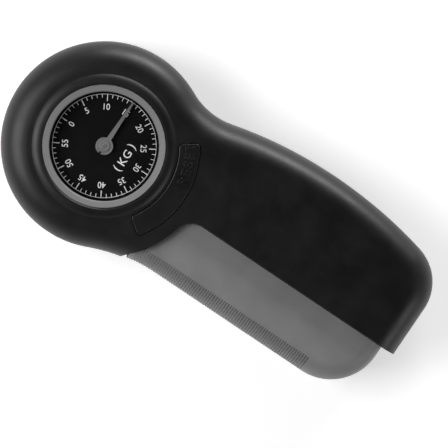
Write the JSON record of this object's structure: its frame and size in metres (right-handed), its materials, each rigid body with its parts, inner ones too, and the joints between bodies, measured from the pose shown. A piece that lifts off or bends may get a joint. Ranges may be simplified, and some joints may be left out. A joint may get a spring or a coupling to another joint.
{
  "type": "hand dynamometer",
  "caption": "Hand grip-strength dynamometer: round dial head with pointer and reset key on a black squeeze handle whose grey finger grip slides against springs.",
  "frame": {"origin": "middle of the flat back, under the middle of the bounding box", "axes": "+X along the handle away from the dial head, +Y toward the palm side, +Z out of the dial face"},
  "size_m": [0.1694, 0.076, 0.033],
  "materials": {
    "casing_black": "satin moulded ABS",
    "button_black": "satin moulded ABS",
    "grip_grey": "matt moulded nylon",
    "bezel_grey": "satin grey",
    "dial_black": "matt black",
    "window_clear": "clear acrylic",
    "seal_rubber": "matt",
    "pointer_grey": "satin",
    "movement_brass": "brushed",
    "bush_bronze": "turned",
    "plated_steel": "zinc plated",
    "ground_steel": "ground",
    "screw_steel": "plated",
    "spring_steel": "oiled spring wire",
    "guide_nylon": "natural nylon"
  },
  "bodies": {
    "casing": {"front_casing": "casing_black", "rear_casing": "casing_black", "casing_screws": "screw_steel", "bezel_ring": "bezel_grey", "dial_window": "window_clear", "window_gasket": "seal_rubber", "dial_ring": "dial_black", "dial_plate": "dial_black", "lower_plate": "movement_brass", "upper_plate": "movement_brass", "plate_pillars": "movement_brass", "movement_screws": "screw_steel", "arbor_bushes": "bush_bronze", "rack_guide": "guide_nylon", "hairspring": "spring_steel", "hairspring_stud": "movement_brass", "lever_bracket": "plated_steel", "lever_pin": "ground_steel", "lever_spring": "spring_steel", "reset_spring": "spring_steel", "back_bar": "plated_steel", "guide_rods": "ground_steel", "rod_clips": "spring_steel", "squeeze_spring_near": "spring_steel", "squeeze_spring_far": "spring_steel"},
    "grip": {"grip_handle": "grip_grey", "carrier_plate": "plated_steel", "carrier_screws": "screw_steel", "guide_bushes": "bush_bronze", "rack": "movement_brass", "rack_screws": "screw_steel"},
    "pinion": {"pinion_arbor": "ground_steel", "transfer_wheel": "movement_brass"},
    "driver": {"driver_pinion": "movement_brass", "dog_pin": "ground_steel"},
    "pointer": {"pointer_needle": "pointer_grey", "pointer_cap": "pointer_grey", "pointer_arbor": "ground_steel", "follower_arm": "plated_steel", "brake_disc": "movement_brass"},
    "reset_key": {"reset_button": "button_black", "reset_plunger": "guide_nylon"},
    "brake_lever": {"reset_lever": "plated_steel", "brake_pad": "seal_rubber"}
  },
  "joints": [
    {"name": "grip_squeeze", "type": "slide", "parent": "casing", "child": "grip", "axis": [0, 1, 0], "range_m": [0, 0.008], "stiffness_N_per_m": 73500, "deforming": ["squeeze_spring_near", "squeeze_spring_far"]},
    {"name": "pinion_turn", "type": "hinge", "parent": "casing", "child": "pinion", "pos_m": [-0.03525, 0, 0.014], "axis": [0, 0, 1], "range_deg": [0, 128]},
    {"name": "driver_turn", "type": "hinge", "parent": "casing", "child": "driver", "pos_m": [-0.04675, 0, 0.015], "axis": [0, 0, -1], "range_deg": [0, 361]},
    {"name": "pointer_turn", "type": "hinge", "parent": "casing", "child": "pointer", "pos_m": [-0.04675, 0, 0.0285], "axis": [0, 0, -1], "range_deg": [-90, 270], "deforming": ["hairspring"]},
    {"name": "reset_press", "type": "slide", "parent": "casing", "child": "reset_key", "axis": [0, 0, -1], "range_m": [0, 0.0015], "stiffness_N_per_m": 1500, "deforming": ["reset_spring"]},
    {"name": "lever_rock", "type": "hinge", "parent": "casing", "child": "brake_lever", "pos_m": [-0.03075, 0, 0.0233], "axis": [0, 1, 0], "range_deg": [0, 5.8], "deforming": ["lever_spring"]}
  ],
  "couplings": [
    {"joint": "pinion_turn", "follows": "grip_squeeze", "rad_per_m": 277.78},
    {"joint": "driver_turn", "follows": "grip_squeeze", "rad_per_m": 787.04},
    {"joint": "lever_rock", "follows": "reset_press", "rad_per_m": 66.667}
  ]
}
